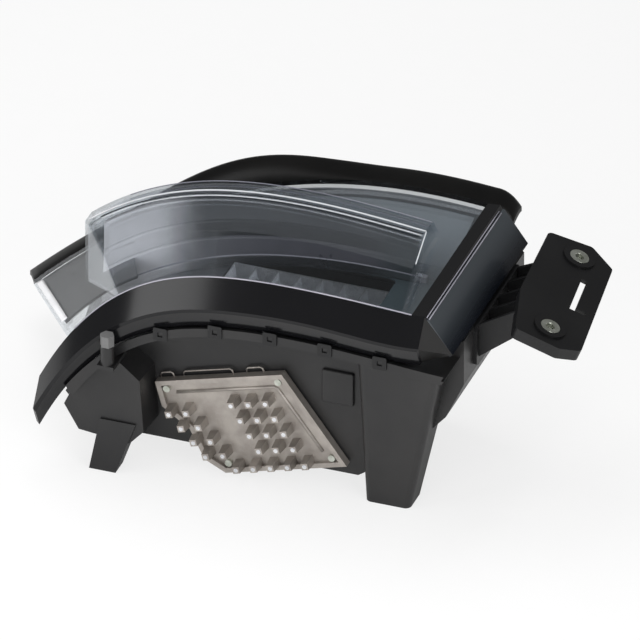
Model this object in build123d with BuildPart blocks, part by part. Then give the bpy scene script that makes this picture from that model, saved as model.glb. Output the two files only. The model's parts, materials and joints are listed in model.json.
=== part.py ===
"""LED headlight for the right side of a car, lying on its back with the lens up.

X runs from the outboard tip to the inboard bracket, Y from the lamp's underside to its
bonnet side, and Z from the back of the lamp to its lens.
"""
import os

from build123d import *

# Lens rims: near rim at Y = 0, far rim at Y = rim_gap
rim_gap = 213.0
rim_height = 240.0
near_reach, near_crown, near_drop, near_curl = 345.0, 6.0, 95.0, 5.0
far_reach, far_crown, far_drop, far_curl = 462.0, 10.0, 184.0, 2.3
line_shares = (1.0, 0.93, 0.86, 0.7, 0.48, 0.24, 0.0)

# Raised ridge of the lens
ridge_y, ridge_width, ridge_slope = 110.0, 17.0, 23.0
ridge_rise, ridge_swell, ridge_sink = 24.0, 6.0, 8.0
ridge_reach, ridge_crown, ridge_drop, ridge_curl = 346.0, 11.0, 62.0, 4.0
ridge_end_gap = 24.0
ridge_foot_reach, ridge_foot_drop = 290.0, 37.0
ridge_foot_gap, ridge_foot_crown = 8.0, 8.0

# Clear lens and its black rim
lens_wall = 3.0
lens_skirt = 14.0
fit_gap = 0.3
seal_wall, seal_gap = 5.0, 0.9
band_out, band_fall = 18.0, 26.0
groove_in, groove_fall = 10.0, 20.0
band_wall = 3.5
tail_share = 1.09
side_band = 13.0
side_run, side_fall, side_wall = 28.0, 36.0, 3.0
finisher_width, finisher_rise, finisher_wall = 24.0, 3.0, 5.0
finisher_end, finisher_droop = 26.0, 16.0

# Housing tub
tub_near, tub_far = 35.0, 205.0
tub_wall = 3.0
tub_drop = 62.0
tub_back = 26.0
tub_right, tub_right_base, side_seat = 40.0, 150.0, 2.5
tub_far_share = 0.84
tub_far_drop = lens_wall + seal_gap + seal_wall + fit_gap
flange_out, flange_wall, flange_lip = 12.0, 4.0, 5.0

# Supports under the housing
leg_x, leg_lean, leg_top_width, leg_foot_width, leg_depth = -296.0, 16.0, 36.0, 27.0, 20.0
leg_top, leg_wall = 58.0, 3.0
pillar_x, pillar_top, pillar_y, pillar_lean = -14.0, 178.0, 28.0, 22.0
pillar_top_size, pillar_foot_size = (84.0, 56.0), (45.0, 34.0)
rear_leg_x, rear_leg_y, rear_leg_size = (-70.0, -250.0), 180.0, (26.0, 30.0)

# Aim adjuster
aim_x, aim_y, aim_z = -297.0, -26.0, 158.0
aim_radius, aim_head, aim_shank = 3.0, 12.0, 26.0
aim_boss, aim_tab = 6.5, 4.0

# Driver module on the underside
driver_x, driver_z, driver_roll = -170.0, 70.0, 15.3
driver_left, driver_right, driver_top, driver_bottom = -88.0, 45.0, 49.0, -54.0
driver_slant, driver_cut, driver_step = 40.0, 46.0, 27.0
driver_recess = 20.0
driver_plate, driver_rim, driver_rim_height = 5.0, 5.0, 4.0
gasket_wall = 2.0
board_wall, board_gap = 1.6, 8.0
pin_size, pin_length, pin_pitch = 9.0, 15.0, 18.0

# Inboard bracket
bracket_origin = (117.0, 60.0, 216.0)
bracket_tilt, bracket_turn = 22.0, 7.0
bracket_length, bracket_width, bracket_wall = 172.0, 66.0, 4.0
bracket_depth = 20.0
bushing_span = 128.0
bushing_radius, bushing_bore, bushing_length = 10.0, 4.2, 13.0
boss_radius = 16.0
slot_width, slot_length, slot_foot = 5.5, 54.0, 13.0

# Optics inside
bezel_wall = 2.0
optic_left, optic_right = -214.0, -58.0
optic_y, optic_depth = 78.0, 40.0
optic_top, optic_height = 196.0, 26.0
cell_count = 7
frame_wall, frame_margin = 4.0, 14.0
pivot_y, pivot_z, pivot_radius, pivot_gap = 150.0, 158.0, 4.0, 0.3
motor_size = (44.0, 36.0, 38.0)
motor_x = -150.0
rod_radius, rod_gap = 4.0, 0.3


def arch(right, top, reach, crown, drop, curl, shares=line_shares):
    """Points of a lens line from its outboard end, which curls down, to its inboard end."""
    return [
        (right - reach * s, top + 4 * crown * s * (1 - s) - drop * abs(s) ** curl)
        for s in shares
    ]


def rim_line(y, sink=0.0, shares=line_shares):
    """Line of the lens base surface at distance y, lowered by sink."""
    near = arch(0, rim_height - sink, near_reach, near_crown, near_drop, near_curl, shares)
    far = arch(0, rim_height - sink, far_reach, far_crown, far_drop, far_curl, shares)
    share = y / rim_gap
    return [
        (near_x + (far_x - near_x) * share, near_z + (far_z - near_z) * share)
        for (near_x, near_z), (far_x, far_z) in zip(near, far)
    ]


def ridge_line(y, inset=0.0):
    """Line of the raised lens part at distance y, drawn in by inset on all sides."""
    share = min(y / ridge_y, 1.0)
    behind = max(y - ridge_y - ridge_width, 0.0) / ridge_slope
    right = -(ridge_foot_gap + (ridge_end_gap - ridge_foot_gap) * share) - inset
    crest = arch(
        right,
        rim_height + ridge_rise * share + 4 * ridge_swell * share * (1 - share) - inset,
        ridge_foot_reach + (ridge_reach - ridge_foot_reach) * share - 2 * inset,
        ridge_foot_crown + (ridge_crown - ridge_foot_crown) * share,
        ridge_foot_drop + (ridge_drop - ridge_foot_drop) * share,
        ridge_curl,
    )
    reach = near_reach + (far_reach - near_reach) * y / rim_gap
    foot = rim_line(y, ridge_sink + inset, [-x / reach for x, z in crest])
    return [(x, z + (foot_z - z) * behind) for (x, z), (foot_x, foot_z) in zip(crest, foot)]


def strip(y, line, wall, lean=0.8, end_lean=-0.5):
    """Closed strip at distance y: a line and the same line set in by the wall."""
    last = len(line) - 1
    leans = [lean + (end_lean - lean) * i / last for i in range(len(line))]
    under = [(x + lean * wall, z - wall) for (x, z), lean in zip(line, leans)]
    with BuildSketch(Plane.XZ.offset(-y)) as section:
        with BuildLine():
            Spline(*line)
            Line(line[-1], under[-1])
            Spline(*reversed(under))
            Line(under[0], line[0])
        make_face()
    return section.sketch


def block(y, line, floor):
    """Closed section at distance y: a line on top, straight sides and a flat floor."""
    with BuildSketch(Plane.XZ.offset(-y)) as section:
        with BuildLine():
            Spline(*line)
            Polyline(line[-1], (line[-1][0], floor), (line[0][0], floor), line[0])
        make_face()
    return section.sketch


def tub_section(y, margin, rise):
    """Closed section of the housing tub at distance y, drawn in by margin."""
    share = (y - tub_near) / (tub_far - tub_near)
    reach_share = 1 + (tub_far_share - 1) * share
    sink = tub_drop + (tub_far_drop - tub_drop) * share - rise
    line = rim_line(y, sink, [s * reach_share for s in line_shares])
    left = line[0][0] + margin
    line = [(x + margin + 0.8 * lens_wall * share, z) for x, z in line]
    side = tub_right - margin
    side_top = rim_height - side_fall - side_wall - side_seat + rise
    back = tub_back + margin
    with BuildSketch(Plane.XZ.offset(-y)) as section:
        with BuildLine():
            Spline(*line)
            Polyline(
                line[-1],
                (side, side_top),
                (side, tub_right_base),
                (side - 18, tub_right_base - 40),
                (side - 66, back + 28),
                (side - 106, back),
                (left + 46, back),
                (left + 8, back + 20),
                line[0],
            )
        make_face()
    return section.sketch


# Clear outer lens: a curved sheet with the ridge moulded into it
open_shares = (1.05,) + line_shares[1:] + (-0.03,)
ridge_stations = (
    0.0,
    ridge_y / 2,
    ridge_y,
    ridge_y + ridge_width,
    ridge_y + ridge_width + ridge_slope,
)
with BuildPart() as outer_lens:
    loft([block(0, rim_line(0), 0), block(rim_gap, rim_line(rim_gap), 0)], ruled=True)
    for near_y, far_y in zip(ridge_stations, ridge_stations[1:]):
        loft([block(y, ridge_line(y), 0) for y in (near_y, far_y)], ruled=True)
    inner_sheet = [
        [(x + 0.8 * lens_wall, z - lens_wall) for x, z in rim_line(y, 0, open_shares)]
        for y in (-5, rim_gap + 5)
    ]
    loft(
        [block(y, line, -5) for y, line in zip((-5, rim_gap + 5), inner_sheet)],
        ruled=True,
        mode=Mode.SUBTRACT,
    )
    for near_y, far_y in zip(ridge_stations, ridge_stations[1:]):
        loft(
            [block(y, ridge_line(y, lens_wall), -5) for y in (near_y, far_y)],
            ruled=True,
            mode=Mode.SUBTRACT,
        )


# Black rim of the lens: near band with its groove, right band and sloping side panel
border_shares = (tail_share, 1.02) + line_shares[1:]
border_stations = (
    (0, 0),
    (-band_out, band_fall),
    (groove_in - band_out, band_fall + groove_fall),
)


def border_line(sink):
    """Line of the near band, carried on past the lens to the right band."""
    line = rim_line(0, sink, border_shares)
    return line + [(side_band, rim_height + 1 - sink)]


side_edge = (side_band + side_run, rim_height - side_fall)
with BuildPart() as lens_border:
    for (near_y, near_sink), (far_y, far_sink) in zip(border_stations, border_stations[1:]):
        loft(
            [
                strip(near_y, border_line(near_sink), band_wall),
                strip(far_y, border_line(far_sink), band_wall),
            ],
            ruled=True,
        )
    with BuildSketch(Plane.XZ):
        with BuildLine():
            Polyline(
                (0, rim_height),
                (side_band, rim_height + 1),
                (side_band + 2, rim_height - 3),
                (side_band + 4, rim_height - 3),
                side_edge,
                (side_edge[0] - side_wall, side_edge[1] - side_wall),
                (side_band - 2, rim_height - 6),
                (0, rim_height - 6),
                close=True,
            )
        make_face()
    extrude(amount=-rim_gap)

# Satin strip along the far rim, with its drooping inboard end
finisher_stations = (
    (rim_gap, 0),
    (rim_gap + finisher_width / 2, -finisher_rise),
    (rim_gap + finisher_width, 2 * finisher_rise),
)


def finisher_line(y, sink):
    """Line of the far strip at distance y, with the drooping end added."""
    line = rim_line(y, sink)
    return line + [
        (finisher_end * 0.6, rim_height - sink - finisher_droop * 0.2),
        (finisher_end, rim_height - sink - finisher_droop),
    ]


with BuildPart() as hood_finisher:
    for near, far in zip(finisher_stations, finisher_stations[1:]):
        loft(
            [strip(y, finisher_line(y, sink), finisher_wall) for y, sink in (near, far)],
            ruled=True,
        )

# Glue bead between the lens and the far wall of the housing
seal_shares = [s * (tub_far_share - 0.01) + 0.01 for s in line_shares]


def seal_line(y):
    """Line just under the lens sheet at distance y."""
    return [
        (x + 0.8 * lens_wall, z - lens_wall - seal_gap)
        for x, z in rim_line(y, 0, seal_shares)
    ]


with BuildPart() as lens_seal:
    loft(
        [strip(y, seal_line(y), seal_wall, 0, 0) for y in (tub_far - tub_wall, tub_far)],
        ruled=True,
    )

# Driver outline, in the plane of the housing's near wall
driver_points = [
    (driver_left, driver_top),
    (driver_right, driver_top),
    (driver_right + driver_slant, driver_bottom),
    (driver_left + driver_cut, driver_bottom),
    (driver_left + 0.61 * driver_cut, driver_bottom + 0.35 * driver_cut),
    (driver_left + 0.48 * driver_cut, driver_top - 2 * driver_step),
    (driver_left, driver_top - driver_step),
]


def driver_plane(y):
    """Plane of the driver module at distance y, facing the underside and rolled."""
    rolled = Vector(1, 0, 0).rotate(Axis.Y, -driver_roll)
    return Plane((driver_x, y, driver_z), x_dir=rolled, z_dir=(0, -1, 0))


def driver_outline(y, margin):
    """Driver outline at distance y, grown by margin."""
    with BuildSketch(driver_plane(y)) as section:
        Polygon(*driver_points, align=None)
        offset(amount=margin, kind=Kind.INTERSECTION)
    return section.sketch


# Housing tub with the driver box, near flange, leg, pillar and rear legs
bulge_points = [
    (-354, 66), (-338, 38), (-284, 32), (-268, 50), (-272, 108), (-298, 130), (-332, 112),
]
bulge_pocket = 12.0
aim_low = rim_line(0, tub_drop - 6, [-aim_x / near_reach])[0][1] - flange_wall - 4
flange_right = (tub_right - 4, rim_height - side_fall - 24)


def flange_line(sink):
    """Line of the near flange, lowered by sink and rising at its inboard end."""
    line = rim_line(0, tub_drop - 6 + sink)
    return line[:-1] + [(flange_right[0], flange_right[1] - sink)]


with BuildPart() as housing:
    loft([tub_section(y, 0, 0) for y in (tub_near, tub_far)], ruled=True)
    with BuildSketch(Plane.XZ.offset(-tub_near - 1)):
        Polygon(*bulge_points, align=None)
    extrude(amount=tub_near + 1, taper=4)
    with BuildSketch(Plane.XY.offset(pillar_top)):
        with Locations((pillar_x, pillar_y)):
            RectangleRounded(*pillar_top_size, radius=8)
    with BuildSketch(Plane.XY):
        with Locations((pillar_x - pillar_lean, pillar_y + pillar_lean)):
            RectangleRounded(*pillar_foot_size, radius=6)
    loft()
    for rear_x in rear_leg_x:
        with BuildSketch(Plane.XY):
            with Locations((rear_x, rear_leg_y)):
                RectangleRounded(*rear_leg_size, radius=5)
        extrude(amount=tub_back + 4, taper=-4)
    loft(
        [
            tub_section(tub_near + tub_wall, tub_wall, 12),
            tub_section(tub_far - tub_wall, tub_wall, 12),
        ],
        ruled=True,
        mode=Mode.SUBTRACT,
    )
    add(extrude(driver_outline(tub_near, 4), amount=-driver_recess - tub_wall, mode=Mode.PRIVATE))
    add(
        extrude(driver_outline(tub_near, -6), amount=-driver_recess, mode=Mode.PRIVATE),
        mode=Mode.SUBTRACT,
    )
    loft(
        [
            strip(-flange_out, flange_line(0), flange_wall),
            strip(tub_near + 1, flange_line(0), flange_wall),
        ],
        ruled=True,
    )
    loft(
        [
            strip(-flange_out, flange_line(-flange_lip), flange_lip + flange_wall),
            strip(tub_wall - flange_out, flange_line(-flange_lip), flange_lip + flange_wall),
        ],
        ruled=True,
    )
    with BuildSketch(Plane.XZ.offset(2)):
        Polygon(
            (leg_x - leg_top_width / 2, leg_top),
            (leg_x + leg_top_width / 2, leg_top),
            (leg_x - leg_lean + leg_foot_width / 2, 0),
            (leg_x - leg_lean - leg_foot_width / 2, 0),
            align=None,
        )
    extrude(amount=-leg_depth)
    with BuildSketch(Plane.XY.offset(aim_low)):
        with Locations((aim_x, (aim_y - aim_boss + tub_wall) / 2)):
            Rectangle(2 * aim_boss + 4, tub_wall - aim_y + aim_boss)
    extrude(amount=aim_tab)
    with BuildSketch(Plane.XY.offset(aim_low)):
        with Locations((aim_x, aim_y)):
            Circle(aim_boss)
    extrude(amount=aim_z - fit_gap - aim_low)
    with BuildSketch(Plane.XY.offset(aim_z)):
        with Locations((aim_x, aim_y)):
            Circle(aim_radius + fit_gap)
    extrude(amount=-aim_shank - 10, mode=Mode.SUBTRACT)


# Die-cast driver cover with a raised rim and pin fins, and what lies behind it
cover_back = tub_near - gasket_wall
cover_face = cover_back - driver_plate
pin_groups = (
    (Vector(-78, 18), 2, 4, Vector(8.5, -16)),
    (Vector(-11, 24), 3, 4, Vector(5, -17)),
    (Vector(-25, -46), 5, 1, Vector(0, 0)),
)
with BuildPart() as driver_cover:
    add(extrude(driver_outline(cover_back, 0), amount=driver_plate, mode=Mode.PRIVATE))
    add(extrude(driver_outline(cover_face, 0), amount=driver_rim_height, mode=Mode.PRIVATE))
    add(
        extrude(driver_outline(cover_face, -driver_rim), amount=driver_rim_height, mode=Mode.PRIVATE),
        mode=Mode.SUBTRACT,
    )
    with BuildSketch(driver_plane(cover_face)):
        for start, columns, rows, row_step in pin_groups:
            for row in range(rows):
                for column in range(columns):
                    with Locations(start + row_step * row + Vector(pin_pitch, 0) * column):
                        Rectangle(pin_size, pin_size)
    extrude(amount=pin_length, taper=4)

screw_places = ((-79, 39.5), (38, 40), (71, -45), (-37, -44.5))
screw_radius, screw_height = 3.5, 3.0
with BuildPart() as driver_screws:
    with BuildSketch(driver_plane(cover_face)):
        with Locations(*screw_places):
            Circle(screw_radius)
    extrude(amount=screw_height)

with BuildPart() as driver_gasket:
    add(extrude(driver_outline(tub_near, -1), amount=gasket_wall, mode=Mode.PRIVATE))
    add(
        extrude(driver_outline(tub_near, -5), amount=gasket_wall, mode=Mode.PRIVATE),
        mode=Mode.SUBTRACT,
    )

with BuildPart() as driver_board:
    add(
        extrude(
            driver_outline(tub_near + board_gap, -6 - fit_gap), amount=board_wall, mode=Mode.PRIVATE
        )
    )

# Square access cover on the near wall
access_x, access_z, access_size, access_wall = -86.0, 121.0, (32.0, 36.0), 3.0
with BuildPart() as access_cover:
    with BuildSketch(Plane.XZ.offset(-tub_near)):
        with Locations((access_x, access_z)):
            RectangleRounded(*access_size, radius=2)
    extrude(amount=access_wall)
    chamfer(access_cover.faces().sort_by(Axis.Y)[0].edges(), length=0.8)

# Inboard bracket: tilted plate with bosses, skirt, ribs and the base that meets the housing
along = Vector(0, 1, 0).rotate(Axis.Z, bracket_turn)
upright = Vector(0, 0, 1).rotate(Axis.Y, bracket_tilt).rotate(Axis.Z, bracket_turn)
bracket_plane = Plane(bracket_origin, x_dir=along, z_dir=upright)
bushing_places = ((0, 0), (bushing_span, 0))
plate_points = [
    (-26, 30), (-26, -16), (-14, -36), (134, -34), (154, -8), (146, 36), (40, 40),
]
base_y, base_height, base_wall = (60.0, 184.0), (156.0, 200.0), 4.0
rib_count, rib_wall = 5, 4.0


def bracket_face(x, y):
    """Height of the bracket's upper face over a point."""
    tilt_x = upright.X * (x - bracket_origin[0])
    tilt_y = upright.Y * (y - bracket_origin[1])
    return bracket_origin[2] - (tilt_x + tilt_y) / upright.Z


with BuildPart() as mounting_bracket:
    with BuildSketch(bracket_plane) as bracket_outline:
        Polygon(*plate_points, align=None)
        fillet(bracket_outline.vertices(), radius=6)
    extrude(amount=-bracket_wall)
    with BuildSketch(bracket_plane.offset(-bracket_wall)) as bracket_skirt:
        add(bracket_outline.sketch_local)
        offset(amount=-bracket_wall, mode=Mode.SUBTRACT)
    extrude(amount=-(bracket_depth - bracket_wall) / 2)
    with BuildSketch(bracket_plane.offset(2)):
        with Locations(*bushing_places):
            Circle(boss_radius)
    extrude(amount=-bushing_length - 2)
    with BuildSketch(Plane.YZ.offset(tub_right)):
        with Locations((sum(base_y) / 2, sum(base_height) / 2)):
            RectangleRounded(base_y[1] - base_y[0], base_height[1] - base_height[0], radius=6)
    extrude(amount=base_wall)
    for index in range(rib_count):
        rib_y = base_y[0] + 8 + index * (base_y[1] - base_y[0] - 16) / (rib_count - 1)
        with BuildSketch(Plane.XZ.offset(-rib_y)):
            Polygon(
                (tub_right + 1, base_height[0] + 6),
                (tub_right + 1, base_height[1] - 2),
                (tub_right + 46, bracket_face(tub_right + 46, rib_y) - 3),
                (tub_right + 68, bracket_face(tub_right + 68, rib_y) - 3),
                align=None,
            )
        extrude(amount=rib_wall / 2, both=True)
    with BuildSketch(bracket_plane.offset(4)):
        with Locations(*bushing_places):
            Circle(bushing_radius)
    extrude(amount=-bushing_length - 10, mode=Mode.SUBTRACT)
    slot_y = -13.0
    slot_x = 43.0
    with BuildSketch(bracket_plane.offset(4)):
        with Locations((slot_x + slot_length / 2, slot_y)):
            Rectangle(slot_length, slot_width)
        with Locations((slot_x + slot_width / 2, slot_y - slot_foot / 2)):
            Rectangle(slot_width, slot_foot)
    extrude(amount=-12, mode=Mode.SUBTRACT)

bushings = []
for place in bushing_places:
    with BuildPart() as bushing:
        with BuildSketch(bracket_plane.offset(2)):
            with Locations(place):
                Circle(bushing_radius)
                Circle(bushing_bore, mode=Mode.SUBTRACT)
        extrude(amount=-bushing_length - 2)
        chamfer(bushing.edges().filter_by(GeomType.CIRCLE), length=0.6)
    bushings.append(bushing)
lower_bushing, upper_bushing = bushings

# Screws through the bracket's base
with BuildPart() as bracket_screws:
    with BuildSketch(Plane.YZ.offset(tub_right + base_wall)):
        with Locations(*[(y, (base_height[0] + base_height[1]) / 2) for y in (82.0, 162.0)]):
            RegularPolygon(radius=7, side_count=6)
    extrude(amount=6)

# Inner bezel: a dark sheet under the lens that steps down to the optics
wall_face = tub_far - tub_wall
bezel_steps = ((5, 12), (26, 30), (44, 36), (116, 36), (124, 24), (165, 20), (wall_face - fit_gap, 12))
bezel_shares = [0.78 * s + 0.02 for s in line_shares]
with BuildPart() as inner_bezel:
    for near, far in zip(bezel_steps, bezel_steps[1:]):
        loft([strip(y, rim_line(y, sink, bezel_shares), bezel_wall) for y, sink in (near, far)], ruled=True)
    with BuildSketch(Plane.XY.offset(rim_height)):
        with Locations(((optic_left + optic_right) / 2, optic_y)):
            RectangleRounded(optic_right - optic_left + 12, optic_depth + 16, radius=8)
    extrude(amount=-rim_height / 2, mode=Mode.SUBTRACT)

# Pale daytime-light bar that lies in the step of the bezel
guide_y, guide_wall = (108.0, 114.0), 6.0
guide_shares = [0.72 * s + 0.06 for s in line_shares]
with BuildPart() as light_guide:
    guide_sink = 36 - guide_wall - 2 * fit_gap
    loft(
        [strip(y, rim_line(y, guide_sink, guide_shares), guide_wall, 0, 0) for y in guide_y],
        ruled=True,
    )

# Aim adjuster through the near flange
with BuildPart() as aim_screw:
    with BuildSketch(Plane.XY.offset(aim_z)):
        with Locations((aim_x, aim_y)):
            RegularPolygon(radius=7, side_count=6)
    extrude(amount=aim_head)
    with BuildSketch(Plane.XY.offset(aim_z)):
        with Locations((aim_x, aim_y)):
            Circle(aim_radius)
    extrude(amount=-aim_shank)

# Flat spring clips on the face of the near flange
clip_size, clip_wall, clip_count = (14.0, 14.0), 1.2, 5
with BuildPart() as lens_clips:
    for index in range(clip_count):
        clip_share = 0.08 + index * 0.16
        clip_x, clip_z = rim_line(0, tub_drop - 8, [clip_share])[0]
        with BuildSketch(Plane.XZ.offset(flange_out + fit_gap)):
            with Locations((clip_x, clip_z)):
                RectangleRounded(*clip_size, radius=1.5)
                Rectangle(5, 5, mode=Mode.SUBTRACT)
        extrude(amount=clip_wall)

# Beam reflector: a block of square cells that narrow to the light sources
optic_length = optic_right - optic_left
optic_mid = (optic_left + optic_right) / 2
optic_base = optic_top - optic_height
cell_pitch = optic_length / cell_count
with BuildPart() as beam_reflector:
    with BuildSketch(Plane.XY.offset(optic_base)):
        with Locations((optic_mid, optic_y)):
            Rectangle(optic_length, optic_depth)
    extrude(amount=optic_height)
    with BuildSketch(Plane.XY.offset(optic_top)):
        with Locations((optic_mid, optic_y)):
            with GridLocations(cell_pitch, 1, cell_count, 1):
                Rectangle(cell_pitch - 1.6, optic_depth - 4)
    extrude(amount=-optic_height, taper=14, mode=Mode.SUBTRACT)

with BuildPart() as beam_board:
    with BuildSketch(Plane.XY.offset(optic_base)):
        with Locations((optic_mid, optic_y)):
            Rectangle(optic_length, optic_depth)
    extrude(amount=-board_wall)

chip_size, chip_height = 4.0, 1.2
with BuildPart() as led_chips:
    with BuildSketch(Plane.XY.offset(optic_base)):
        with Locations((optic_mid, optic_y)):
            with GridLocations(cell_pitch, 1, cell_count, 1):
                Rectangle(chip_size, chip_size)
    extrude(amount=chip_height)

sink_base, fin_height, fin_count, fin_wall = 6.0, 26.0, 12, 2.0
sink_top = optic_base - board_wall
with BuildPart() as beam_heat_sink:
    with BuildSketch(Plane.XY.offset(sink_top)):
        with Locations((optic_mid, optic_y)):
            Rectangle(optic_length, optic_depth)
    extrude(amount=-sink_base)
    with BuildSketch(Plane.XY.offset(sink_top - sink_base)):
        with Locations((optic_mid, optic_y)):
            with GridLocations((optic_length - fin_wall) / (fin_count - 1), 1, fin_count, 1):
                Rectangle(fin_wall, optic_depth - 4)
    extrude(amount=-fin_height)

# Tilting carrier of the beam optics, with two eyes round the pivot pins
frame_low = sink_top - sink_base
frame_near, frame_far = optic_y - optic_depth / 2 - frame_margin, pivot_y + 8
frame_left, frame_right = optic_left - frame_margin, optic_right + frame_margin
with BuildPart() as beam_frame:
    with BuildSketch(Plane.XY.offset(frame_low)):
        with Locations(((frame_left + frame_right) / 2, (frame_near + frame_far) / 2)):
            RectangleRounded(frame_right - frame_left, frame_far - frame_near, radius=4)
        with Locations((optic_mid, optic_y)):
            Rectangle(optic_length + 2 * fit_gap, optic_depth + 2 * fit_gap, mode=Mode.SUBTRACT)
    extrude(amount=frame_wall)
    for eye_x in (frame_left, frame_right - frame_wall):
        with BuildSketch(Plane.YZ.offset(eye_x)):
            with Locations((pivot_y, pivot_z)):
                Circle(pivot_radius + 5)
        extrude(amount=frame_wall)
    with BuildSketch(Plane.YZ.offset(frame_left - 1)):
        with Locations((pivot_y, pivot_z)):
            Circle(pivot_radius + pivot_gap)
    extrude(amount=frame_right - frame_left + 2, mode=Mode.SUBTRACT)

arm_wall, arm_height, arm_gap = 10.0, 16.0, 1.5
with BuildPart() as pivot_arms:
    for side, eye_x in ((-1, frame_left), (1, frame_right)):
        arm_x = eye_x + side * (arm_gap + arm_wall / 2)
        with BuildSketch(Plane.XY.offset(pivot_z - arm_height / 2)):
            with Locations((arm_x, (pivot_y - 8 + wall_face) / 2)):
                Rectangle(arm_wall, wall_face - pivot_y + 8)
        extrude(amount=arm_height)
        with BuildSketch(Plane.YZ.offset(arm_x)):
            with Locations((pivot_y, pivot_z)):
                Circle(pivot_radius)
        extrude(amount=-side * (arm_wall / 2 + arm_gap + frame_wall + 1))

# Levelling motor on the back of the tub, and its push rod
motor_y = 112.0
motor_base = tub_back + tub_wall
with BuildPart() as levelling_motor:
    with BuildSketch(Plane.XY.offset(motor_base)):
        with Locations((motor_x, motor_y)):
            RectangleRounded(motor_size[0], motor_size[1], radius=5)
    extrude(amount=motor_size[2])
    with BuildSketch(Plane.XY.offset(motor_base + motor_size[2])):
        with Locations((motor_x, motor_y)):
            Circle(rod_radius + 5)
    extrude(amount=8)
    with BuildSketch(Plane.XY.offset(motor_base + motor_size[2] + 8)):
        with Locations((motor_x, motor_y)):
            Circle(rod_radius + rod_gap)
    extrude(amount=-24, mode=Mode.SUBTRACT)

rod_low, rod_high = motor_base + motor_size[2] - 10, frame_low - 0.6
with BuildPart() as motor_rod:
    with BuildSketch(Plane.XY.offset(rod_low)):
        with Locations((motor_x, motor_y)):
            Circle(rod_radius)
    extrude(amount=rod_high - rod_low)
    fillet(motor_rod.faces().sort_by(Axis.Z)[-1].edges(), radius=2.5)

# Plug socket and breather on the far wall
socket_x, socket_z, socket_size, socket_depth = -110.0, 100.0, (38.0, 22.0), 20.0
with BuildPart() as connector:
    with BuildSketch(Plane.XZ.offset(-tub_far)):
        with Locations((socket_x, socket_z)):
            RectangleRounded(*socket_size, radius=3)
    extrude(amount=-socket_depth)
    with BuildSketch(Plane.XZ.offset(-tub_far - socket_depth)):
        with Locations((socket_x, socket_z)):
            RectangleRounded(socket_size[0] - 5, socket_size[1] - 5, radius=2)
    extrude(amount=socket_depth - 4, mode=Mode.SUBTRACT)

vent_x, vent_z, vent_radius, vent_height = -190.0, 100.0, 13.0, 9.0
with BuildPart() as vent_cap:
    with BuildSketch(Plane.XZ.offset(-tub_far)):
        with Locations((vent_x, vent_z)):
            Circle(vent_radius)
    extrude(amount=-vent_height)
    fillet(vent_cap.faces().sort_by(Axis.Y)[-1].edges(), radius=3)

# Grey panel inside the outboard tip
tip_near, tip_sink = 120.0, 8.0
tip_shares = (0.97, 0.95, 0.93, 0.91, 0.895, 0.88)
with BuildPart() as tip_panel:
    loft(
        [strip(y, rim_line(y, tip_sink, tip_shares), bezel_wall) for y in (tip_near, rim_gap - fit_gap)],
        ruled=True,
    )

pieces = {
    "housing": housing,
    "outer_lens": outer_lens,
    "lens_border": lens_border,
    "hood_finisher": hood_finisher,
    "lens_seal": lens_seal,
    "driver_cover": driver_cover,
    "driver_gasket": driver_gasket,
    "driver_board": driver_board,
    "driver_screws": driver_screws,
    "access_cover": access_cover,
    "aim_screw": aim_screw,
    "lens_clips": lens_clips,
    "light_guide": light_guide,
    "mounting_bracket": mounting_bracket,
    "lower_bushing": lower_bushing,
    "upper_bushing": upper_bushing,
    "bracket_screws": bracket_screws,
    "inner_bezel": inner_bezel,
    "beam_reflector": beam_reflector,
    "beam_board": beam_board,
    "led_chips": led_chips,
    "beam_heat_sink": beam_heat_sink,
    "beam_frame": beam_frame,
    "pivot_arms": pivot_arms,
    "levelling_motor": levelling_motor,
    "motor_rod": motor_rod,
    "connector": connector,
    "vent_cap": vent_cap,
    "tip_panel": tip_panel,
}

# The frame's origin is the middle of the lamp's footprint, on the surface it lies on
boxes = [piece.part.bounding_box() for piece in pieces.values()]
low = [min(tuple(box.min)[axis] for box in boxes) for axis in range(3)]
high = [max(tuple(box.max)[axis] for box in boxes) for axis in range(3)]
to_frame = Location((-(low[0] + high[0]) / 2, -(low[1] + high[1]) / 2, -low[2]))
print("moved to the frame by", to_frame.position)

os.makedirs("parts", exist_ok=True)
for label, piece in pieces.items():
    piece.part.locate(to_frame * piece.part.location)
    piece.part.label = label
    export_step(piece.part, f"parts/{label}.step")
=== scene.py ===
"""Looks of the LED headlight: a finish for every moulded, cast and clear piece, and the studio round it."""
import json
from math import cos, pi, radians, sin

import bmesh
import bpy
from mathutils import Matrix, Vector
from mathutils.bvhtree import BVHTree


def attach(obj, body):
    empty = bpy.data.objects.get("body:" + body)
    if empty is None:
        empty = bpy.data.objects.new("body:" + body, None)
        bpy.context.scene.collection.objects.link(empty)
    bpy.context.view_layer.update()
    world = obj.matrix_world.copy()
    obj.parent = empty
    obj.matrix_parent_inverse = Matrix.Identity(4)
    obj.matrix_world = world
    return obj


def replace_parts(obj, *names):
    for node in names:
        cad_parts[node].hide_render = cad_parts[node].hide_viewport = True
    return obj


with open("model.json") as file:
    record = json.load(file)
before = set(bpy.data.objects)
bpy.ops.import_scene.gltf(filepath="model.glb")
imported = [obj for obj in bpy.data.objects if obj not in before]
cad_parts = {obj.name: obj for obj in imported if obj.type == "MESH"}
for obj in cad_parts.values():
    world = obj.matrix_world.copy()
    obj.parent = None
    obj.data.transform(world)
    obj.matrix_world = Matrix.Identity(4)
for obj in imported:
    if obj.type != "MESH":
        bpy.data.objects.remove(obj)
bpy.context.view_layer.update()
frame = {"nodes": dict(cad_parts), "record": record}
scene = bpy.context.scene
scene.view_settings.view_transform = "Standard"

# One millimetre in the shared frame, which is in metres
mm = 0.001
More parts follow.
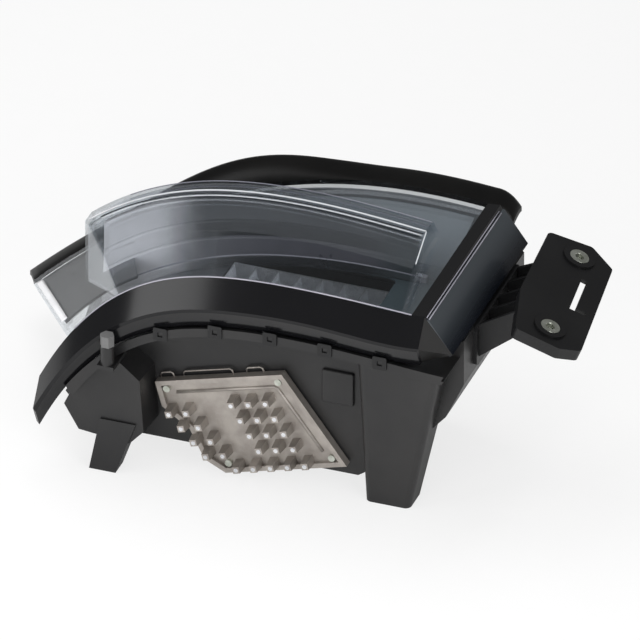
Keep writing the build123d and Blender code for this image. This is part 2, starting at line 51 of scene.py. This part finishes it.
# The lamp's own design sizes in millimetres. Its design places start below the inboard end of the near rim,
# and frame_shift moves them to the shared frame.
frame_shift = Vector((161.876, -102.25, 0.0))
rim_gap, rim_height = 213.0, 240.0
near_rim, far_rim = (345.0, 6.0, 95.0, 5.0), (462.0, 10.0, 184.0, 2.3)  # reach, crown, drop and curl
ridge_front, ridge_rear = 110.0, 127.0
driver_x, driver_z, driver_roll = -170.0, 70.0, radians(15.3)
up = Vector((0.0, 0.0, 1.0))
white = (1.0, 1.0, 1.0, 1.0)


class Wire:
    """A socket in a finish's node tree. Arithmetic on wires adds Math nodes."""

    def __init__(self, tree, socket=None):
        self.tree = tree
        self.socket = socket

    def make(self, kind, settings=None, sockets=None, out=0):
        """Adds a node: its settings first, then the values or links of its sockets."""
        node = self.tree.nodes.new(kind)
        for name, value in (settings or {}).items():
            if name == "stops":
                self.set_stops(node.color_ramp, value)
            else:
                setattr(node, name, value)
        for name, value in (sockets or {}).items():
            if isinstance(value, Wire):
                self.tree.links.new(value.socket, node.inputs[name])
            else:
                node.inputs[name].default_value = value
        return Wire(self.tree, node.outputs[out] if node.outputs else None)

    @staticmethod
    def set_stops(ramp, stops):
        """Gives a ramp its stops, as pairs of place and colour."""
        while len(ramp.elements) < len(stops):
            ramp.elements.new(1.0)
        for element, (place, colour) in zip(ramp.elements, stops):
            element.position = place
            element.color = (*colour, 1.0)

    def math(self, operation, *values):
        return self.make("ShaderNodeMath", {"operation": operation}, dict(enumerate(values)))

    def __add__(self, other):
        return self.math("ADD", self, other)

    __radd__ = __add__

    def __sub__(self, other):
        return self.math("SUBTRACT", self, other)

    def __rsub__(self, other):
        return self.math("SUBTRACT", other, self)

    def __mul__(self, other):
        return self.math("MULTIPLY", self, other)

    __rmul__ = __mul__

    def __truediv__(self, other):
        return self.math("DIVIDE", self, other)

    def __pow__(self, other):
        return self.math("POWER", self, other)

    def axis(self, index):
        """One coordinate of a place: 0, 1 or 2 for X, Y or Z."""
        return self.make("ShaderNodeSeparateXYZ", {}, {"Vector": self}, out=index)

    def ramp(self, stops):
        """Colour at this value along a ramp of stops."""
        return self.make("ShaderNodeValToRGB", {"stops": stops}, {"Fac": self})

    def between(self, low, high):
        """0 below low, 1 above high and a smooth step between them."""
        settings = {"interpolation_type": "SMOOTHSTEP"}
        return self.make("ShaderNodeMapRange", settings, {"Value": self, "From Min": low, "From Max": high})

    def tint(self, dark, light):
        """Colour that goes from dark to light as this value goes from 0 to 1."""
        sockets = {"Factor": self, 6: (*dark, 1.0), 7: (*light, 1.0)}
        return self.make("ShaderNodeMix", {"data_type": "RGBA"}, sockets, out=2)

    def blend_to(self, other, share):
        """This colour, with a share of another colour or colour wire."""
        colour = other if isinstance(other, Wire) else (*other, 1.0)
        sockets = {"Factor": share, 6: self, 7: colour}
        return self.make("ShaderNodeMix", {"data_type": "RGBA"}, sockets, out=2)

    def noise(self, scale, detail=3.0, roughness=0.55):
        sockets = {"Vector": self, "Scale": scale, "Detail": detail, "Roughness": roughness}
        return self.make("ShaderNodeTexNoise", {}, sockets)

    def bump(self, strength, distance):
        return self.make("ShaderNodeBump", {}, {"Height": self, "Strength": strength, "Distance": distance})

    def light_path(self, kind):
        """1 for rays of a kind, such as those straight from the camera, and 0 for the rest."""
        path = self.make("ShaderNodeLightPath")
        return Wire(self.tree, path.socket.node.outputs[kind])


def new_finish(name):
    """An empty node material, with the wire that the object's own coordinates come from."""
    material = bpy.data.materials.new(name)
    material.use_nodes = True
    tree = material.node_tree
    tree.nodes.clear()
    place = Wire(tree).make("ShaderNodeTexCoord", out=3)
    return material, place


def surface(material, shader):
    """Joins a shader to the material's output."""
    shader.make("ShaderNodeOutputMaterial", {}, {"Surface": shader})
    return material


def skin(material, place, sockets):
    """Finishes a material with one Principled surface."""
    return surface(material, place.make("ShaderNodeBsdfPrincipled", {}, sockets))


def moulded(name, dark, light, rough, grain, grain_scale, specular=0.5):
    """Moulded plastic: slight flow marks in the colour, and a fine eroded grain."""
    flow_scale, grain_depth = 9.0, 0.2 * mm
    material, place = new_finish(name)
    flow = place.noise(flow_scale, 4.0)
    fine = place.noise(grain_scale, 2.0, 0.7)
    return skin(material, place, {
        "Base Color": flow.between(0.3, 0.72).tint(dark, light),
        "Roughness": rough + (fine - 0.5) * 0.16 + (flow - 0.5) * 0.1,
        "Specular IOR Level": specular,
        "Normal": fine.bump(grain, grain_depth),
    })


def cast_metal(name, dark, light, rough):
    """Die-cast aluminium: a dull skin with cold-flow patches and a pitted grain."""
    patch_scale, pit_scale, pit_depth = 38.0, 1300.0, 0.4 * mm
    material, place = new_finish(name)
    patches = place.noise(patch_scale, 5.0, 0.6)
    pits = place.noise(pit_scale, 2.0, 0.7)
    return skin(material, place, {
        "Base Color": patches.between(0.3, 0.7).tint(dark, light),
        "Metallic": 0.75,
        "Roughness": rough + (patches - 0.5) * 0.2,
        "Normal": (patches * 0.6 + pits * 0.4).bump(0.25, pit_depth),
    })


def plated(name, dark, light, rough):
    """Plated surface: pale with a faint cloud in its colour, and fine turning marks."""
    cloud_scale, turning_scale, turning_depth = 120.0, 2200.0, 0.1 * mm
    material, place = new_finish(name)
    cloud = place.noise(cloud_scale, 3.0)
    turning = place.noise(turning_scale, 1.0)
    return skin(material, place, {
        "Base Color": cloud.between(0.3, 0.7).tint(dark, light),
        "Metallic": 0.9,
        "Roughness": rough + (turning - 0.5) * 0.2,
        "Normal": turning.bump(0.12, turning_depth),
    })


def clear_cover(name):
    """Hard-coated clear moulding: light passes, with a gloss that grows at a slant."""
    haze_scale, index, gloss_share = 14.0, 1.45, 0.5
    material, place = new_finish(name)
    haze = place.noise(haze_scale, 2.0)
    gloss = place.make("ShaderNodeBsdfPrincipled", {}, {
        "Base Color": haze.tint((0.75, 0.78, 0.82), (0.9, 0.92, 0.95)),
        "Metallic": 1.0,
        "Roughness": 0.03 + haze * 0.04,
    })
    clear = place.make("ShaderNodeBsdfTransparent", {}, {"Color": (0.96, 0.975, 0.985, 1.0)})
    slant = place.make("ShaderNodeFresnel", {}, {"IOR": index})
    mixed = place.make("ShaderNodeMixShader", {}, {0: slant * gloss_share, 1: clear, 2: gloss})
    return surface(material, mixed)


def bezel_finish(name):
    """Bezel under the lens: pale and dark bands along it, a pale frosted outboard end that is partly a
    painted reflection, a dark inboard one.
    """
    pale_frost_and_reflection, slate = (0.68, 0.66, 0.69), (0.045, 0.062, 0.07)
    bend, bend_middle, ripple = 0.35, 0.02, 0.006
    bands_start, bands_width = 0.1, 0.2
    flow_scale, grain_scale, grain_depth = 16.0, 900.0, 0.2 * mm
    material, place = new_finish(name)
    across, length = place.axis(1), place.axis(0)
    flow = place.noise(flow_scale, 3.0)
    sweep = across + (length + bend_middle) ** 2.0 * bend + (flow - 0.5) * ripple
    bands = ((sweep + bands_start) / bands_width).ramp([
        (0.0, (0.1, 0.1, 0.12)),
        (0.1, (0.08, 0.08, 0.1)),
        (0.14, (0.008, 0.009, 0.013)),
        (0.24, (0.014, 0.016, 0.022)),
        (0.28, (0.05, 0.05, 0.064)),
        (0.5, (0.02, 0.023, 0.028)),
        (0.56, (0.014, 0.016, 0.02)),
        (0.64, (0.12, 0.134, 0.147)),
        (1.0, (0.25, 0.277, 0.297)),
    ])
    near_side = 1.0 - across.between(0.0, 0.03)
    # Pale outboard end near the front: partly a real frosted panel, partly a painted reflection
    frost_and_reflection_mix = bands.blend_to(pale_frost_and_reflection, (0.0 - length).between(0.1, 0.16) * near_side)
    ended = frost_and_reflection_mix.blend_to(slate, length.between(0.06, 0.11) * near_side)
    return skin(material, place, {
        "Base Color": ended,
        "Roughness": 0.24 + (flow - 0.5) * 0.12,
        "Normal": place.noise(grain_scale, 2.0).bump(0.06, grain_depth),
    })


def wall_finish(name, dark, light):
    """Band of the bezel's wall under the ridge: pale frosted at its outboard end, partly a painted
    reflection, slate at its inboard end.
    """
    pale_frost_and_reflection, slate = (0.8, 0.78, 0.81), (0.03, 0.04, 0.046)
    ripple, flow_scale, grain_scale, grain_depth = 0.03, 22.0, 700.0, 0.2 * mm
    material, place = new_finish(name)
    length = place.axis(0)
    flow = place.noise(flow_scale, 3.0)
    shift = (flow - 0.5) * ripple
    # Pale outboard end: partly a real frosted panel, partly a painted reflection
    frost_and_reflection_mix = flow.tint(dark, light).blend_to(pale_frost_and_reflection, (shift - length).between(0.08, 0.145))
    ended = frost_and_reflection_mix.blend_to(slate, (length + shift).between(0.07, 0.12))
    return skin(material, place, {
        "Base Color": ended,
        "Roughness": 0.3 + (flow - 0.5) * 0.15,
        "Normal": place.noise(grain_scale, 2.0).bump(0.05, grain_depth),
    })


def rim_finish(name):
    """Gloss rim: black bands, and a slate side panel that fades to black at its foot."""
    panel_start, panel_full = 0.1765, 0.1775
    fade_foot, fade_top, ripple = 0.2, 0.236, 0.008
    flow_scale, grain_scale, grain_depth = 9.0, 300.0, 0.2 * mm
    material, place = new_finish(name)
    flow = place.noise(flow_scale, 3.0)
    panel = place.axis(0).between(panel_start, panel_full)
    fade = (place.axis(2) + (flow - 0.5) * ripple).between(fade_foot, fade_top)
    slate = fade.tint((0.004, 0.005, 0.008), (0.05, 0.057, 0.064))
    black = flow.tint((0.004, 0.004, 0.0045), (0.006, 0.006, 0.007))
    return skin(material, place, {
        "Base Color": black.blend_to(slate, panel),
        "Specular IOR Level": 0.3,
        "Roughness": 0.16 + (flow - 0.5) * 0.08,
        "Normal": place.noise(grain_scale, 2.0).bump(0.02, grain_depth),
    })


# Moulded finishes: dark and light of the colour, roughness, strength and scale of the grain, and specular
# level where it isn't the plain one
mouldings = {
    "charcoal_plastic": ((0.009, 0.009, 0.0095), (0.018, 0.0175, 0.0175), 0.4, 0.3, 900.0, 0.45),
    "black_plastic": ((0.004, 0.004, 0.0045), (0.008, 0.008, 0.0085), 0.42, 0.3, 1100.0, 0.4),
    "satin_black": ((0.003, 0.003, 0.003), (0.006, 0.0057, 0.0055), 0.42, 0.2, 1400.0, 0.22),
    "seal_rubber": ((0.01, 0.01, 0.01), (0.018, 0.018, 0.018), 0.75, 0.4, 900.0),
    "grey_plastic": ((0.3, 0.3, 0.31), (0.38, 0.38, 0.39), 0.45, 0.2, 900.0),
    "board_green": ((0.01, 0.1, 0.04), (0.02, 0.14, 0.06), 0.4, 0.2, 700.0),
    "guide_pale": ((0.2, 0.2, 0.225), (0.3, 0.3, 0.33), 0.18, 0.05, 500.0),
    "led_yellow": ((0.6, 0.5, 0.1), (0.8, 0.7, 0.2), 0.4, 0.1, 900.0),
    "tip_grey": ((0.008, 0.0078, 0.0076), (0.015, 0.0145, 0.0142), 0.35, 0.1, 900.0),
    "head_grey": ((0.1, 0.1, 0.1), (0.15, 0.15, 0.15), 0.45, 0.2, 900.0),
    "glue_grey": ((0.16, 0.17, 0.18), (0.22, 0.23, 0.24), 0.6, 0.3, 700.0),
    # Painted highlights in white and lavender, and a painted shade line, for thin beads laid over the lens,
    # rim and bezel
    "edge_light": ((0.78, 0.78, 0.8), (0.9, 0.9, 0.92), 0.12, 0.03, 500.0),
    "edge_lavender": ((0.26, 0.255, 0.3), (0.36, 0.355, 0.4), 0.2, 0.03, 500.0),
    "edge_dark": ((0.02, 0.022, 0.026), (0.035, 0.037, 0.042), 0.25, 0.03, 500.0),
}
finishes = {name: moulded(name, *values) for name, values in mouldings.items()} | {
    "cast_aluminium": cast_metal("cast_aluminium", (0.33, 0.3, 0.275), (0.47, 0.435, 0.4), 0.5),
    "zinc_steel": plated("zinc_steel", (0.42, 0.44, 0.38), (0.62, 0.64, 0.58), 0.32),
    "bright_reflector": plated("bright_reflector", (0.68, 0.69, 0.72), (0.85, 0.86, 0.88), 0.28),
    "clear_lens": clear_cover("clear_lens"),
    "bezel_bands": bezel_finish("bezel_bands"),
    "rim_gloss": rim_finish("rim_gloss"),
    "wall_pale": wall_finish("wall_pale", (0.045, 0.048, 0.055), (0.08, 0.084, 0.094)),
    "wall_dark": wall_finish("wall_dark", (0.006, 0.007, 0.01), (0.012, 0.014, 0.018)),
    "wall_lavender": wall_finish("wall_lavender", (0.06, 0.059, 0.072), (0.1, 0.098, 0.118)),
}
# Nodes with a finish of their own in place of their slot's
own_finish = {
    "inner_bezel": "bezel_bands",
    "lens_border": "rim_gloss",
    "tip_panel": "tip_grey",
    "aim_screw": "head_grey",
    "lens_seal": "glue_grey",
    "lens_clips": "black_plastic",
}


def dress_nodes():
    """Gives each piece of the frame its own finish, or else that of its slot."""
    for entry in frame["record"]["subparts"]:
        mesh = frame["nodes"][entry["node"]].data
        mesh.materials.clear()
        mesh.materials.append(finishes[own_finish.get(entry["node"], entry["material_slot"])])


def along(start, stop, count=60):
    """Evenly spaced values from start to stop."""
    return [start + (stop - start) * index / count for index in range(count + 1)]


def rim_point(share, y, sink=0.0):
    """Point of the lens base surface in mm, at a share of its length and a distance from the near rim."""
    ends = []
    for reach, crown, drop, curl in (near_rim, far_rim):
        rise = 4 * crown * share * (1 - share) - drop * abs(share) ** curl
        ends.append(Vector((-reach * share, y, rim_height - sink + rise)))
    return ends[0].lerp(ends[1], y / rim_gap)


def in_frame(point):
    """A design point in mm, in metres in the shared frame."""
    return (point + frame_shift) * mm


def top_tree(node):
    """Search tree of a node's surface in the shared frame."""
    thing = frame["nodes"][node]
    corners = [thing.matrix_world @ vertex.co for vertex in thing.data.vertices]
    return BVHTree.FromPolygons(corners, [tuple(face.vertices) for face in thing.data.polygons])


tops = {node: top_tree(node) for node in ("outer_lens", "lens_border")}


def top_of(node, x, y):
    """Point in metres on top of a piece of the frame, over a design place in mm."""
    over = in_frame(Vector((x, y, 0.0))) + up
    return tops[node].ray_cast(over, -up)[0]


def new_piece(name, corners, faces, finish, smooth):
    """A mesh piece that rides on the lamp, with all faces turned outward and the first ones smooth."""
    mesh = bpy.data.meshes.new(name)
    mesh.from_pydata(corners, [], faces)
    mesh.polygons.foreach_set("use_smooth", [index < smooth for index in range(len(faces))])
    shell = bmesh.new()
    shell.from_mesh(mesh)
    bmesh.ops.recalc_face_normals(shell, faces=shell.faces)
    shell.to_mesh(mesh)
    shell.free()
    mesh.materials.append(finishes[finish])
    piece = bpy.data.objects.new(name, mesh)
    scene.collection.objects.link(piece)
    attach(piece, "lamp")
    return piece


def sheet(name, rows, wall, finish):
    """A thin moulded sheet through rows of points in metres, with a wall under it."""
    count, width = len(rows), len(rows[0])
    corners = [point for row in rows for point in row]
    low = len(corners)
    corners += [point - up * wall for point in corners]
    cells = [row * width + column for row in range(count - 1) for column in range(width - 1)]
    faces = [(cell, cell + 1, cell + width + 1, cell + width) for cell in cells]
    faces += [tuple(low + corner for corner in reversed(face)) for face in faces]
    smooth = len(faces)
    rim = list(range(width)) + [row * width + width - 1 for row in range(1, count)]
    rim += [(count - 1) * width + column for column in range(width - 2, -1, -1)]
    rim += [row * width for row in range(count - 2, 0, -1)]
    faces += [(a, low + a, low + b, b) for a, b in zip(rim, rim[1:] + rim[:1])]
    return new_piece(name, corners, faces, finish, smooth)


def bead(name, points, radius, finish, sides=8):
    """A thin round bead along points in metres."""
    corners, faces = [], []
    for index, point in enumerate(points):
        ahead = points[min(index + 1, len(points) - 1)] - points[max(index - 1, 0)]
        aside = ahead.cross(up).normalized()
        over = aside.cross(ahead).normalized()
        for step in range(sides):
            turn = radians(360.0 * step / sides)
            corners.append(point + (aside * cos(turn) + over * sin(turn)) * radius)
    for index in range(len(points) - 1):
        for step in range(sides):
            a, b = index * sides + step, index * sides + (step + 1) % sides
            faces.append((a, b, b + sides, a + sides))
    smooth = len(faces)
    faces.append(tuple(reversed(range(sides))))
    faces.append(tuple(range(len(corners) - sides, len(corners))))
    return new_piece(name, corners, faces, finish, smooth)


def build_far_strip():
    """Satin strip along the far rim, with a humped outer edge and a drooping inboard end."""
    width, rise, wall = 23.95, 5.0, 5.0 * mm
    hump_rise, hump_middle, hump_reach = 19.0, 0.54, 0.33
    end, droop, droop_curve, end_steps = 26.0, 16.0, 2.4, 8
    profile = ((0.0, 0.0), (0.25, 0.55), (0.5, 0.82), (0.7, 0.95), (0.88, 0.93), (1.0, 0.8))
    rows = []
    for out, height in profile:
        row = []
        for share in along(1.0, 0.0):
            away = min(abs(share - hump_middle) / hump_reach, 1.0)
            hump = 0.5 + 0.5 * cos(pi * away)
            point = rim_point(share, rim_gap + out * width)
            row.append(in_frame(point + up * height * (rise + hump_rise * hump)))
        last = row[-1]
        for part in along(0.0, 1.0, end_steps)[1:]:
            row.append(last + Vector((end * part, 0.0, -droop * part ** droop_curve)) * mm)
        rows.append(row)
    strip = sheet("far_strip", rows, wall, "satin_black")
    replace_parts(strip, "hood_finisher")


def lens_edge(name, places, radius, finish):
    """A bead sunk flush in the top of the lens, over design places in mm, that carries the painted
    highlights and the painted shade line along the ridge.
    """
    cover = 0.1 * mm
    sunk = up * (radius + cover)
    bead(name, [top_of("outer_lens", x, y) - sunk for x, y in places], radius, finish)


def build_ridge_glints():
    """Painted highlights and a painted shade line along the ridge of the lens, for the bright and dark
    edges that the light draws there.
    """
    # Outboard and inboard end, place across the lens, radius and finish
    lines = (
        # Painted highlights, and a painted shade line just behind the front one
        ("ridge_front_glint", -366.0, -25.0, ridge_front, 0.9 * mm, "edge_light"),
        ("ridge_shadow_edge", -352.0, -26.0, ridge_front - 5.0, 0.6 * mm, "edge_dark"),
        ("ridge_second_glint", -350.0, -27.0, ridge_front - 8.0, 0.5 * mm, "edge_light"),
        ("ridge_rear_glint", -330.0, -25.0, ridge_rear, 0.5 * mm, "edge_lavender"),
    )
    for name, left, right, y, radius, finish in lines:
        lens_edge(name, [(x, y) for x in along(left, right)], radius, finish)
    # Painted highlight down the inboard end of the ridge
    end_x, end_lean, end_radius = -24.8, 0.1455, 0.7 * mm
    end_places = [(end_x + end_lean * (ridge_front - y), y) for y in along(60.0, 109.0, 20)]
    lens_edge("ridge_end_glint", end_places, end_radius, "edge_light")


def build_rim_highlights():
    """Painted highlights along the near band of the rim and over its inboard flange."""
    # Painted highlight along the top of the near band
    band_y, band_lift, band_radius = -0.4, 0.2, 0.7 * mm
    band = [in_frame(rim_point(share, band_y, -band_lift)) for share in along(0.985, 0.0)]
    bead("rim_highlight", band, band_radius, "edge_lavender")
    # Two painted highlights along the rounded edge of the inboard flange
    line_lift, line_radius = up * 0.2 * mm, 0.6 * mm
    for number, x in enumerate((14.3, 16.8)):
        line = [top_of("lens_border", x, y) + line_lift for y in along(2.0, 205.0, 12)]
        bead(f"flange_highlight_{number}", line, line_radius, "edge_lavender")


def build_tip():
    """Dark lining inside the outboard tip of the lens, and a painted highlight along the edge of the lens
    there.
    """
    lining_sink, lining_wall = 4.5, 2.0 * mm
    glint_lift, glint_wall = up * 0.3, 1.0 * mm
    depths = along(45.0, 209.0, 36)
    lining = [
        [in_frame(rim_point(share, y, lining_sink)) for y in depths]
        for share in along(0.988, 0.79, 16)
    ]
    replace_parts(sheet("tip_lining", lining, lining_wall, "tip_grey"), "tip_panel")
    # Painted highlight where the edge of the clear lens catches the light
    lit = [
        [in_frame(rim_point(share, y) + glint_lift) for y in depths[:-2]]
        for share in (0.999, 0.993, 0.986)
    ]
    sheet("tip_lens_glint", lit, glint_wall, "edge_light")


def wall_point(share, fall):
    """Point in mm of the bezel's wall, from under the ridge's crest (fall 0) to the bezel (fall 1)."""
    right, length = -26.0, 336.0
    crest, bow, dip, crest_y = 257.0, 44.0, 62.0, 113.0
    bezel_sink, least_height, foot_y = 34.0, 4.0, 105.5
    lean_curve, fall_curve = 1.6, 0.85
    x = right - length * share
    crest_z = crest + bow * share * (1 - share) - dip * share ** 4
    reach = near_rim[0] + (far_rim[0] - near_rim[0]) * foot_y / rim_gap
    foot_z = min(rim_point(-x / reach, foot_y, bezel_sink).z, crest_z - least_height)
    y = crest_y - (crest_y - foot_y) * fall ** lean_curve
    return Vector((x, y, crest_z + (foot_z - crest_z) * fall ** fall_curve))


def build_wall():
    """Banded wall of the bezel that stands behind the optics, under the ridge, with one thin band that is a
    painted highlight along its edge.
    """
    thick = 1.5 * mm
    bands = (
        ("bezel_wall_top", 0.0, 0.3, "wall_pale"),
        ("bezel_wall_band", 0.3, 0.55, "wall_dark"),
        ("bezel_wall_face", 0.55, 0.86, "wall_lavender"),
        # Thin painted highlight along the bezel's edge
        ("bezel_wall_highlight", 0.86, 0.885, "edge_lavender"),
        ("bezel_wall_foot", 0.885, 1.0, "wall_dark"),
    )
    for name, top, foot, finish in bands:
        rows = [
            [in_frame(wall_point(share, fall)) for share in along(0.97, 0.02)]
            for fall in along(top, foot, 5)
        ]
        sheet(name, rows, thick, finish)


def driver_point(right, rise, y):
    """Point in metres at a place on the driver cover, in mm along its rolled sides, at design depth y."""
    x = driver_x + right * cos(driver_roll) - rise * sin(driver_roll)
    z = driver_z + right * sin(driver_roll) + rise * cos(driver_roll)
    return in_frame(Vector((x, y, z)))


def build_pin_marks():
    """Round bright ejector marks on the ends of the driver cover's pins."""
    end_y, thick, radius, pitch = 13.0, 0.3, 2.2 * mm, 18.0
    # First pin of each group, its columns and rows, and the step from one row to the next
    groups = (
        (-78.0, 18.0, 2, 4, 8.5, -16.0),
        (-11.0, 24.0, 3, 4, 5.0, -17.0),
        (-25.0, -46.0, 5, 1, 0.0, 0.0),
    )
    places = [
        (start_right + step_right * row + pitch * column, start_rise + step_rise * row)
        for start_right, start_rise, columns, rows, step_right, step_rise in groups
        for row in range(rows)
        for column in range(columns)
    ]
    for number, (right, rise) in enumerate(places):
        ends = [driver_point(right, rise, y) for y in (end_y, end_y - thick)]
        bead(f"pin_mark_{number}", ends, radius, "bright_reflector", sides=16)


def driver_trim(name, places, y, radius):
    """A cast bead along places on the driver cover, at design depth y."""
    points = [driver_point(*place, y) for place in places]
    bead(name, points, radius, "cast_aluminium")


def build_driver_trim():
    """Inner bead of the driver cover, and the thin wire lugs over its upper edge."""
    bead_y, bead_radius = 27.6, 1.7 * mm
    bend_places = [(-70.0, 34.5), (32.0, 34.5), (35.0, 32.5), (63.0, -38.0)]
    driver_trim("driver_bead", bend_places, bead_y, bead_radius)
    lug_y, lug_radius = 31.5, 0.8 * mm
    # Each lug leans in a little from its foot to its bend, and is rounded there
    foot, bend, top, lean, corner = 48.0, 53.0, 54.5, 0.6, 2.5
    for number, (left, right) in enumerate(((-84.0, -70.0), (-60.0, -8.0), (6.0, 24.0))):
        hoop = [(left, foot), (left + lean, bend), (left + corner, top)]
        hoop += [(right - corner, top), (right - lean, bend), (right, foot)]
        driver_trim(f"driver_lug_{number}", hoop, lug_y, lug_radius)


def build_rim_corner():
    """Near corner of the rim, where the near band turns into the side panel."""
    band_x = 12.5
    crest, front, chin = (band_x, 0.0, 240.5), (band_x, -18.0, 214.5), (band_x, -8.0, 195.0)
    panel, foot = (41.0, 0.0, 204.0), (band_x, 0.0, 199.0)
    corners = [in_frame(Vector(place)) for place in (crest, front, chin, panel, foot)]
    faces = [(0, 1, 3), (1, 2, 3), (2, 4, 3), (4, 0, 3), (0, 4, 2, 1)]
    new_piece("rim_corner", corners, faces, "satin_black", smooth=0)


def build_floor():
    """Pale floor that keeps the lamp's shadow, and that the camera sees as nearly white."""
    half, gap, white_share = 6.0, 0.5 * mm, 0.75
    mesh = bpy.data.meshes.new("floor")
    corners = [(-half, -half, 0), (half, -half, 0), (half, half, 0), (-half, half, 0)]
    mesh.from_pydata(corners, [], [(0, 1, 2, 3)])
    floor = bpy.data.objects.new("floor", mesh)
    scene.collection.objects.link(floor)
    floor.location.z = -gap
    material, place = new_finish("floor_paper")
    fibre = place.noise(40.0, 2.0)
    paper = fibre.tint((0.88, 0.88, 0.88), (0.92, 0.92, 0.92))
    lit = place.make("ShaderNodeBsdfDiffuse", {}, {"Color": paper})
    glow = place.make("ShaderNodeEmission", {}, {"Color": white, "Strength": 1.0})
    seen = place.light_path("Is Camera Ray")
    mixed = place.make("ShaderNodeMixShader", {}, {0: seen * white_share, 1: lit, 2: glow})
    mesh.materials.append(surface(material, mixed))


def build_world():
    """Even pale surroundings that the camera sees as white, and that gloss shows darker."""
    level, mirror_loss = 0.35, 0.15
    world = bpy.data.worlds.new("studio")
    scene.world = world
    world.use_nodes = True
    tree = world.node_tree
    tree.nodes.clear()
    start = Wire(tree)
    seen, mirrored = start.light_path("Is Camera Ray"), start.light_path("Is Glossy Ray")
    strength = level + seen * (1.0 - level) - mirrored * mirror_loss
    sky = start.make("ShaderNodeBackground", {}, {"Color": white, "Strength": strength})
    sky.make("ShaderNodeOutputWorld", {}, {"Surface": sky})


def soft_light(name, place, aim, size, power):
    """A large rectangular soft light that faces a point."""
    data = bpy.data.lights.new(name, "AREA")
    data.shape = "RECTANGLE"
    data.size, data.size_y = size
    data.energy = power
    light = bpy.data.objects.new(name, data)
    light.location = place
    light.rotation_euler = (Vector(aim) - Vector(place)).to_track_quat("-Z", "Y").to_euler()
    scene.collection.objects.link(light)
    return light


def build_lights():
    """Soft lights round the lamp. Two of them stay out of its gloss, so that the lens shows no patch."""
    middle = (0.0, 0.0, 0.15)
    # Place, size, power, and whether gloss shows it
    lights = (
        ("overhead", (-0.4, 0.1, 2.0), (1.6, 1.0), 20.0, False),
        ("right_fill", (1.6, -1.2, 1.0), (1.0, 1.0), 16.0, True),
        ("left_fill", (-1.5, -1.4, 0.9), (1.0, 1.0), 12.0, True),
        ("front_fill", (-0.1, -2.2, 0.7), (1.6, 0.8), 26.0, False),
    )
    for name, place, size, power, in_gloss in lights:
        soft_light(name, place, middle, size, power).visible_glossy = in_gloss


def build_camera():
    """Long lens at the photograph's angle: 20 degrees to the side and 32 degrees down."""
    turn, rise = radians(20.0), radians(32.0)
    target = Vector((0.0335, -0.00225, 0.1482))
    distance, view_width = 20.0, 0.608
    back = Vector((sin(turn) * cos(rise), -cos(turn) * cos(rise), sin(rise)))
    data = bpy.data.cameras.new("camera")
    data.sensor_width = 36.0
    data.lens = data.sensor_width * distance / view_width
    camera = bpy.data.objects.new("camera", data)
    camera.location = target + back * distance
    camera.rotation_euler = (-back).to_track_quat("-Z", "Y").to_euler()
    scene.collection.objects.link(camera)
    scene.camera = camera


dress_nodes()
build_far_strip()
build_ridge_glints()
build_rim_highlights()
build_tip()
build_wall()
build_pin_marks()
build_driver_trim()
build_rim_corner()
build_floor()
build_world()
build_lights()
build_camera()
